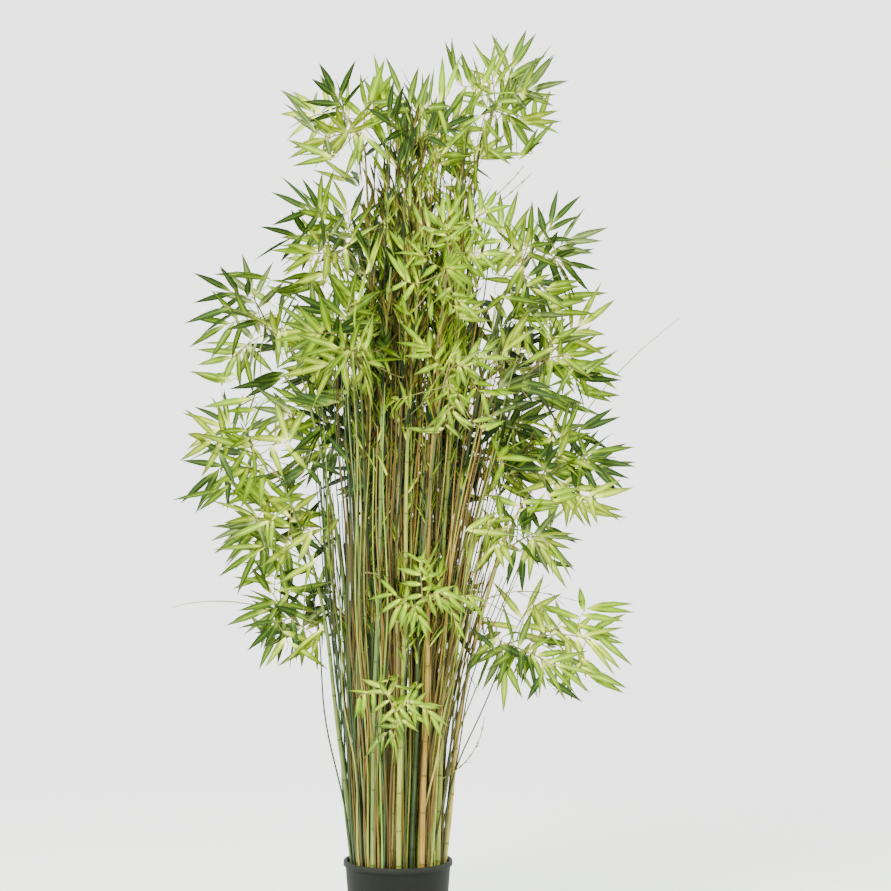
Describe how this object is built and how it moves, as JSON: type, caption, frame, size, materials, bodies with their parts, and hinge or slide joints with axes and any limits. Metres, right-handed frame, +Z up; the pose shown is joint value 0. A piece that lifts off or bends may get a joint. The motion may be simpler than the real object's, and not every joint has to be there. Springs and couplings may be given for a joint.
{
  "type": "potted artificial bamboo",
  "caption": "Tall artificial bamboo: a clump of thin canes set in a round dark plastic pot, with sprays of long narrow green leaves on wire twigs.",
  "frame": {"origin": "middle of the pot's flat underside, where it stands on the floor", "axes": "+Z up along the pot's axis, -Y the plant's front as the picture shows it, +X its right"},
  "size_m": [0.8923, 0.5223, 1.6042],
  "materials": {
    "pot": "matte",
    "filling": "rough",
    "cane": "satin",
    "foliage": "matte"
  },
  "bodies": {
    "root": {"pot": "pot", "pot_filling": "filling", "cane_01": "cane", "cane_02": "cane", "cane_03": "cane", "cane_04": "cane", "cane_05": "cane", "cane_06": "cane", "cane_07": "cane", "cane_08": "cane", "cane_09": "cane", "cane_10": "cane", "cane_11": "cane", "cane_12": "cane", "cane_13": "cane", "cane_14": "cane", "cane_15": "cane", "cane_16": "cane", "cane_17": "cane", "cane_18": "cane", "cane_19": "cane", "cane_20": "cane", "cane_21": "cane", "cane_22": "cane", "cane_23": "cane", "cane_24": "cane", "cane_25": "cane", "cane_26": "cane", "cane_27": "cane", "cane_28": "cane", "cane_29": "cane", "cane_30": "cane", "cane_31": "cane", "cane_32": "cane", "foliage_top_left": "foliage", "foliage_top_middle": "foliage", "foliage_top_right": "foliage", "foliage_top_back": "foliage", "foliage_upper_left": "foliage", "foliage_upper_right": "foliage", "foliage_upper_front": "foliage", "foliage_upper_back": "foliage", "foliage_outer_left": "foliage", "foliage_middle_left": "foliage", "foliage_outer_right": "foliage", "foliage_middle_front": "foliage", "foliage_middle_back_left": "foliage", "foliage_middle_back_right": "foliage", "foliage_left_arm": "foliage", "foliage_shaded_left": "foliage", "foliage_shaded_right": "foliage", "foliage_right_arm": "foliage", "foliage_low_left": "foliage", "foliage_low_right": "foliage", "foliage_low_back": "foliage", "foliage_bottom_left": "foliage", "foliage_low_front": "foliage", "foliage_bottom_right": "foliage", "foliage_bottom_front": "foliage", "foliage_bottom_back": "foliage"}
  },
  "joints": []
}
